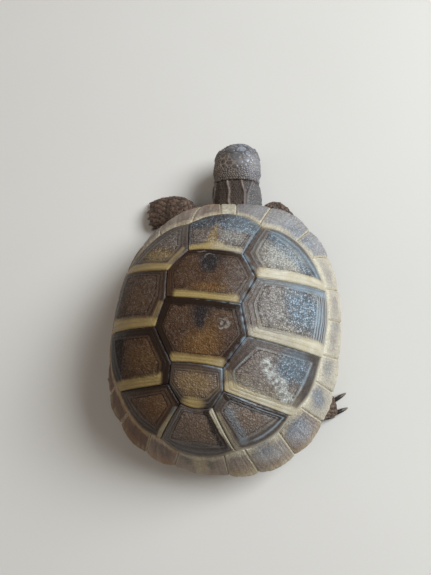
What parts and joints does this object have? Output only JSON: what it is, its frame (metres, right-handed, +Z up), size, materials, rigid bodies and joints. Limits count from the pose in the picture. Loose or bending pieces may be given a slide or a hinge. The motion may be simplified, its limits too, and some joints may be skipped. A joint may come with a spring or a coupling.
{
  "type": "juvenile tortoise",
  "caption": "Life-size model of a young Mediterranean spur-thighed tortoise at rest on its shell's flat underside, neck out straight and one foreleg spread to the side.",
  "frame": {"origin": "on the flat underside of the plastron, which rests on the floor, under the widest section of the shell", "axes": "+Z up from the floor, the head points along -Y and the tail along +Y, the animal's right side is -X and its left side +X"},
  "size_m": [0.0538, 0.0718, 0.0269],
  "materials": {
    "shell_plates": "horn: granulated grey-brown areolae with near-black growth bands and a yellow band along each rear edge, low satin sheen",
    "shell_rim": "horn: pale yellow-buff with grey-brown patches, low satin sheen",
    "shell_underside": "horn: yellow-buff with dark blotches, satin",
    "skin": "dry dark grey-brown scaled skin",
    "eyes": "wet dark brown"
  },
  "bodies": {
    "root": {"vertebral_1": "shell_plates", "vertebral_2": "shell_plates", "vertebral_3": "shell_plates", "vertebral_4": "shell_plates", "vertebral_5": "shell_plates", "costal_right_1": "shell_plates", "costal_right_2": "shell_plates", "costal_right_3": "shell_plates", "costal_right_4": "shell_plates", "costal_left_1": "shell_plates", "costal_left_2": "shell_plates", "costal_left_3": "shell_plates", "costal_left_4": "shell_plates", "marginal_right_1": "shell_rim", "marginal_right_2": "shell_rim", "marginal_right_3": "shell_rim", "marginal_right_4": "shell_rim", "marginal_right_5": "shell_rim", "marginal_right_6": "shell_rim", "marginal_right_7": "shell_rim", "marginal_right_8": "shell_rim", "marginal_right_9": "shell_rim", "marginal_right_10": "shell_rim", "marginal_right_11": "shell_rim", "marginal_left_1": "shell_rim", "marginal_left_2": "shell_rim", "marginal_left_3": "shell_rim", "marginal_left_4": "shell_rim", "marginal_left_5": "shell_rim", "marginal_left_6": "shell_rim", "marginal_left_7": "shell_rim", "marginal_left_8": "shell_rim", "marginal_left_9": "shell_rim", "marginal_left_10": "shell_rim", "marginal_left_11": "shell_rim", "nuchal": "shell_rim", "supracaudal": "shell_rim", "plastron": "shell_underside", "trunk": "skin", "neck": "skin", "head": "skin", "tail": "skin", "leg_front_left": "skin", "leg_front_right": "skin", "leg_hind_left": "skin", "leg_hind_right": "skin", "eye_left": "eyes", "eye_right": "eyes"}
  },
  "joints": []
}
